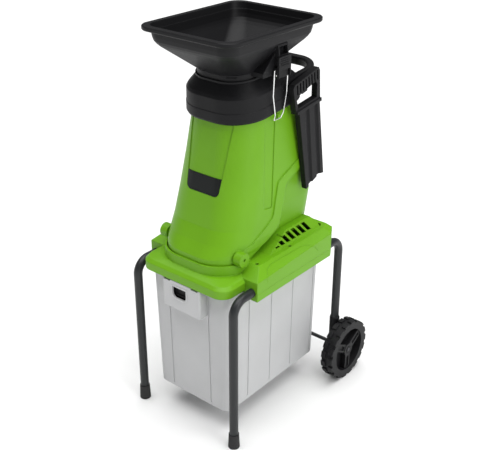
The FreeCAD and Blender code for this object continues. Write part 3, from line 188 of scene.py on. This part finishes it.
def surface(name, color, rough=(0.4, 0.5), grain=900.0, bump=0.05, metal=0.0, edge_wear_and_highlight=0.35, mottle=0.06,
            edge=0.0012, specular=0.5):
    """A moulded, painted or metal surface: broad mottling, fine grain, and paler edges, part wear and part
    painted highlight.
    """
    material = bpy.data.materials.new(name)
    material.use_nodes = True
    tree = material.node_tree
    shader = tree.nodes["Principled BSDF"]
    coordinates = node_of(tree, "ShaderNodeTexCoord")
    broad = noise(tree, coordinates, 9.0, 3.0)
    fine = noise(tree, coordinates, grain, 2.0)
    soft_edges = node_of(tree, "ShaderNodeBevel", samples=4)
    soft_edges.inputs["Radius"].default_value = edge
    geometry = node_of(tree, "ShaderNodeNewGeometry")
    likeness = node_of(tree, "ShaderNodeVectorMath", operation="DOT_PRODUCT")
    tree.links.new(soft_edges.outputs["Normal"], likeness.inputs[0])
    tree.links.new(geometry.outputs["Normal"], likeness.inputs[1])
    # Edges are made paler where the bevelled normal departs from the true one: part wear, part painted
    # highlight.
    wear_and_highlight_mask = node_of(tree, "ShaderNodeMapRange")
    wear_and_highlight_mask.inputs["From Min"].default_value = 0.99
    wear_and_highlight_mask.inputs["From Max"].default_value = 0.8
    wear_and_highlight_mask.inputs["To Max"].default_value = edge_wear_and_highlight
    tree.links.new(likeness.outputs["Value"], wear_and_highlight_mask.inputs["Value"])
    cloud = spread(tree, broad.outputs["Fac"], 0.0, 1.0)
    body = mixed(tree, cloud, shade(color, 1.0 - mottle), shade(color, 1.0 + mottle))
    # Mixes the colour toward a paler copy at the edges, as painted highlight as well as wear.
    worn_and_highlit = mixed(tree, wear_and_highlight_mask.outputs["Result"], body, shade(color, 1.5))
    tree.links.new(worn_and_highlit, shader.inputs["Base Color"])
    tree.links.new(spread(tree, fine.outputs["Fac"], *rough), shader.inputs["Roughness"])
    relief = node_of(tree, "ShaderNodeBump")
    relief.inputs["Strength"].default_value = bump
    relief.inputs["Distance"].default_value = 0.0006
    tree.links.new(fine.outputs["Fac"], relief.inputs["Height"])
    tree.links.new(soft_edges.outputs["Normal"], relief.inputs["Normal"])
    tree.links.new(relief.outputs["Normal"], shader.inputs["Normal"])
    shader.inputs["Metallic"].default_value = metal
    shader.inputs["Specular IOR Level"].default_value = specular
    return material


# Base colour of each finish, and what differs from the usual surface.
# The edge setting of each finish is how much paler its edges are painted: part wear, part painted highlight.
FINISHES = {
    "green_shell": (
        (0.145, 0.37, 0.007),
        dict(rough=(0.38, 0.48), mottle=0.03, edge_wear_and_highlight=0.2, edge=0.003, specular=0.28),
    ),
    "black_plastic": (
        (0.008, 0.008, 0.0090),
        dict(rough=(0.42, 0.56), bump=0.16, edge_wear_and_highlight=0.5, edge=0.002, specular=0.18),
    ),
    "bin_grey": ((0.52, 0.525, 0.53), dict(rough=(0.42, 0.52), bump=0.06, mottle=0.03)),
    "tube_paint": ((0.018, 0.020, 0.021), dict(rough=(0.34, 0.42), bump=0.04, specular=0.35)),
    "foot_rubber": ((0.018, 0.018, 0.018), dict(rough=(0.7, 0.85), bump=0.3, grain=500.0)),
    "wheel_black": ((0.009, 0.009, 0.010), dict(rough=(0.45, 0.6), bump=0.2, edge_wear_and_highlight=0.6, specular=0.22)),
    "zinc_steel": ((0.6, 0.6, 0.58), dict(rough=(0.28, 0.42), metal=1.0, mottle=0.12)),
    "bright_wire": ((0.8, 0.8, 0.8), dict(rough=(0.14, 0.24), metal=1.0, edge=0.0003)),
    "plate_steel": ((0.42, 0.42, 0.43), dict(rough=(0.35, 0.5), metal=1.0, mottle=0.15)),
    "knife_steel": ((0.66, 0.66, 0.68), dict(rough=(0.2, 0.34), metal=1.0, grain=300.0)),
    "screw_steel": ((0.10, 0.10, 0.11), dict(rough=(0.35, 0.5), metal=1.0, edge=0.0004)),
    "motor_steel": ((0.2, 0.2, 0.21), dict(rough=(0.45, 0.6), metal=0.6, mottle=0.15)),
    "cast_aluminium": ((0.6, 0.61, 0.62), dict(rough=(0.4, 0.6), metal=1.0, bump=0.3)),
    "badge_dark": ((0.006, 0.008, 0.0075), dict(rough=(0.3, 0.4), bump=0.02, edge_wear_and_highlight=0.2, specular=0.2)),
    "button_green": ((0.02, 0.33, 0.06), dict(rough=(0.22, 0.3), bump=0.03)),
    "button_red": ((0.6, 0.015, 0.015), dict(rough=(0.22, 0.3), bump=0.03)),
}


def make_materials():
    return {name: surface(name, color, **look) for name, (color, look) in FINISHES.items()}


def dress_nodes(materials):
    slot_of = {part["node"]: part["material_slot"] for part in RECORD["subparts"]}
    for name, node in NODES.items():
        node.data.materials.clear()
        node.data.materials.append(materials[slot_of[name]])


# ---------------------------------------------------------------- small pieces on the CAD surfaces

def settle(piece, body, slot):
    piece.data.materials.append(MATERIALS[slot])
    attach(piece, body)
    return piece


def new_object(name, data):
    piece = bpy.data.objects.new(name, data)
    bpy.context.scene.collection.objects.link(piece)
    return piece


def bead(name, lines, radius, body, slot, closed=False):
    """Round beads of one radius along lines of points."""
    curve = bpy.data.curves.new(name, "CURVE")
    curve.dimensions = "3D"
    curve.bevel_depth = radius
    curve.bevel_resolution = 3
    curve.use_fill_caps = True
    for points in lines:
        spline = curve.splines.new("POLY")
        spline.points.add(len(points) - 1)
        for place, point in zip(spline.points, points):
            place.co = (*point, 1.0)
        spline.use_cyclic_u = closed
    return settle(new_object(name, curve), body, slot)


def smooth_mesh(name, mesh, body, slot, bevel=0.0):
    mesh.polygons.foreach_set("use_smooth", [True] * len(mesh.polygons))
    piece = new_object(name, mesh)
    if bevel:
        modifier = piece.modifiers.new("bevel", "BEVEL")
        modifier.width = bevel
        modifier.segments = 3
        modifier.harden_normals = True
    return settle(piece, body, slot)


def bars(name, boxes, bevel, body, slot):
    """Bars with rounded edges, each from its lowest and highest corner."""
    shape = bmesh.new()
    for low, high in boxes:
        corners = bmesh.ops.create_cube(shape, size=1.0)["verts"]
        for vertex in corners:
            vertex.co = Vector(low[i] + (vertex.co[i] + 0.5) * (high[i] - low[i]) for i in range(3))
    mesh = bpy.data.meshes.new(name)
    shape.to_mesh(mesh)
    shape.free()
    return smooth_mesh(name, mesh, body, slot, bevel)


def turned(name, profile, places, axis, body, slot):
    """A profile of (radius, height) turned about an axis at each place."""
    steps = 32
    shape = bmesh.new()
    turn = Vector((0, 0, 1)).rotation_difference(Vector(axis)).to_matrix()
    for place in places:
        rings = []
        for radius, height in profile:
            ring = []
            for step in range(steps):
                angle = 2 * math.pi * step / steps
                local = Vector((radius * math.cos(angle), radius * math.sin(angle), height))
                ring.append(shape.verts.new(Vector(place) + turn @ local))
            rings.append(ring)
        for lower, upper in zip(rings[:-1], rings[1:]):
            for step in range(steps):
                following = (step + 1) % steps
                shape.faces.new((lower[step], lower[following], upper[following], upper[step]))
        shape.faces.new(rings[-1])
    mesh = bpy.data.meshes.new(name)
    shape.to_mesh(mesh)
    shape.free()
    return smooth_mesh(name, mesh, body, slot)


def circle(centre, radius, normal, steps=48):
    turn = Vector((0, 0, 1)).rotation_difference(Vector(normal)).to_matrix()
    angles = [2 * math.pi * step / steps for step in range(steps)]
    return [Vector(centre) + turn @ Vector((radius * math.cos(a), radius * math.sin(a), 0)) for a in angles]


def divided(points, spacing):
    """Adds points along a line, so that it can follow a curved surface."""
    result = []
    for start, end in zip(points[:-1], points[1:]):
        start, end = Vector(start), Vector(end)
        count = max(1, round((end - start).length / spacing))
        result += [start.lerp(end, step / count) for step in range(count)]
    return result + [Vector(points[-1])]


def laid_on(node_name, points, direction, sink):
    """Drops points along a direction onto a CAD node; sink puts them a little under its skin."""
    mesh = NODES[node_name].data
    tree = BVHTree.FromPolygons([v.co for v in mesh.vertices], [p.vertices[:] for p in mesh.polygons])
    direction = Vector(direction).normalized()
    laid = []
    for point in points:
        hit = tree.ray_cast(Vector(point) - direction, direction)[0]
        if hit is not None:
            laid.append(hit + direction * sink)
    return laid


def low_of(node):
    return Vector(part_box(node)[0])


def high_of(node):
    return Vector(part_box(node)[1])


def make_latch_ribs():
    """Finger ribs across each latch lever."""
    for side, word in ((1, "right"), (-1, "left")):
        node = f"latch_lever_{word}"
        low, high = low_of(node), high_of(node)
        outer = high.x if side > 0 else low.x
        middle = (low.y + high.y) / 2
        boxes = []
        for index in range(4):
            z = high.z - 0.006 - 0.0048 * index
            inner_x, outer_x = sorted((outer - side * 0.0008, outer + side * 0.0011))
            boxes.append(((inner_x, middle - 0.014, z - 0.0009), (outer_x, middle + 0.014, z + 0.0009)))
        bars(f"latch_ribs_{word}", boxes, 0.0005, node, "black_plastic")


def make_badge_border():
    """A fine raised border on the plain plate."""
    low, high = low_of("front_badge"), high_of("front_badge")
    half = high.x - 0.0055
    top, bottom = high.z - 0.0035, low.z + 0.0035
    turn = 0.011
    outline = [(-half, top), (half, top), (half - 0.002, bottom + turn), (half - 0.0055, bottom + 0.0035),
               (half - 0.002 - turn, bottom)]
    outline += [(-x, z) for x, z in reversed(outline[2:])]
    points = divided([(x, 0.0, z) for x, z in outline + outline[:1]], 0.003)[:-1]
    line = laid_on("front_badge", points, (0, 1, 0), 0.0001)
    bead("badge_border", [line], 0.00045, "upper_housing", "badge_dark", closed=True)


def make_rail_pads():
    """The raised outline of the grip pad on each shoulder of the base cover."""
    for side, word in ((1, "right"), (-1, "left")):
        edge = side * high_of("base_cover").x
        outline = [(-0.1440, 0.4290), (-0.1425, 0.4445), (-0.132, 0.4535), (-0.110, 0.4585), (0.010, 0.4585),
                   (0.028, 0.4550), (0.046, 0.4450), (0.060, 0.4290)]
        points = divided([(edge, y, z) for y, z in outline], 0.004)
        bead(f"shoulder_pad_{word}", [laid_on("base_cover", points, (-side, 0, 0), 0.0003)], 0.0009, "frame",
             "green_shell")


def make_button_collars():
    """A raised ring round each of the three buttons."""
    face = high_of("switch_box").y
    rings = []
    for node in ("start_button", "stop_button"):
        middle = (low_of(node) + high_of(node)) / 2
        rings.append(circle((middle.x, face, middle.z), 0.0108, (0, 1, 0)))
    middle = (low_of("reset_button") + high_of("reset_button")) / 2
    bead("button_collars", rings, 0.0008, "frame", "black_plastic", closed=True)
    reset_ring = circle((middle.x, face, middle.z), 0.0068, (0, 1, 0))
    bead("reset_collar", [reset_ring], 0.0007, "frame", "black_plastic", closed=True)


def make_screws():
    """Domed screws in the corners of the switch box, and a boss on each axle cap."""
    inset = 0.006
    dome = [(0.0030, -0.0006), (0.0030, 0.0003), (0.0026, 0.0009), (0.0017, 0.0013), (0.0011, 0.0013),
            (0.0009, 0.0006)]
    low, high = low_of("switch_box"), high_of("switch_box")
    corners = [
        (x, high.y, z)
        for x in (low.x + inset, high.x - inset)
        for z in (low.z + inset, high.z - inset)
    ]
    turned("switch_box_screws", dome, corners, (0, 1, 0), "frame", "screw_steel")
    hub = [(0.0040, -0.0005), (0.0040, 0.0004), (0.0033, 0.0011), (0.0020, 0.0014), (0.0013, 0.0013),
           (0.0010, 0.0005)]
    middle = (low_of("wheel_left") + high_of("wheel_left")) / 2
    for side, word in ((1, "right"), (-1, "left")):
        cap = side * (high_of("axle_caps").x - 0.0004)
        turned(f"cap_boss_{word}", hub, [(cap, middle.y, middle.z)], (side, 0, 0), "frame", "screw_steel")


def make_wheel_rings():
    """Moulded rings on the face of each wheel: one near the tread, one on the hub."""
    for side, word in ((1, "right"), (-1, "left")):
        node = f"wheel_{word}"
        low, high = low_of(node), high_of(node)
        face = (high.x if side > 0 else low.x) - side * 0.0007
        hub_face = face - side * 0.0020
        middle = (low + high) / 2
        rings = [circle((face, middle.y, middle.z), radius, (1, 0, 0), 96) for radius in (0.0635, 0.0735)]
        rings.append(circle((hub_face, middle.y, middle.z), 0.0135, (1, 0, 0)))
        bead(f"wheel_rings_{word}", rings, 0.0007, node, "wheel_black", closed=True)


def make_foot_rings():
    """Grip rings round the feet."""
    for word in ("left", "right"):
        low, high = low_of(f"foot_{word}"), high_of(f"foot_{word}")
        middle = (low + high) / 2
        rings = []
        for z in (0.009, 0.016, 0.023, 0.030):
            radius = 0.0140 - 0.0015 * z / high.z
            rings.append(circle((middle.x, middle.y, z), radius, (0, 0, 1)))
        bead(f"foot_rings_{word}", rings, 0.0006, "frame", "foot_rubber", closed=True)


def make_neck_tab():
    """A locating tab on the front of the hopper's neck ring."""
    points = divided([(0.040, -0.4, 0.8915), (0.060, -0.4, 0.8925)], 0.002)
    bead("neck_tab", [laid_on("hopper", points, (0, 1, 0), 0.0)], 0.0016, "upper_housing", "black_plastic")


def make_tube_seams():
    """The crimp line where each foot and axle sleeve grips its tube."""
    for word in ("left", "right"):
        foot, sleeve = high_of(f"foot_{word}"), high_of(f"axle_sleeve_{word}")
        front = (low_of(f"foot_{word}") + foot) / 2
        rear = (low_of(f"axle_sleeve_{word}") + sleeve) / 2
        rings = [circle((front.x, front.y, foot.z), 0.0119, (0, 0, 1)),
                 circle((rear.x, rear.y, sleeve.z), 0.0119, (0, 0, 1))]
        bead(f"tube_seams_{word}", rings, 0.0008, "frame", "black_plastic", closed=True)


def make_pieces():
    make_latch_ribs()
    make_badge_border()
    make_rail_pads()
    make_button_collars()
    make_screws()
    make_wheel_rings()
    make_foot_rings()
    make_neck_tab()
    make_tube_seams()


make_camera()
make_floor()
make_light()
MATERIALS = make_materials()
dress_nodes(MATERIALS)
make_pieces()
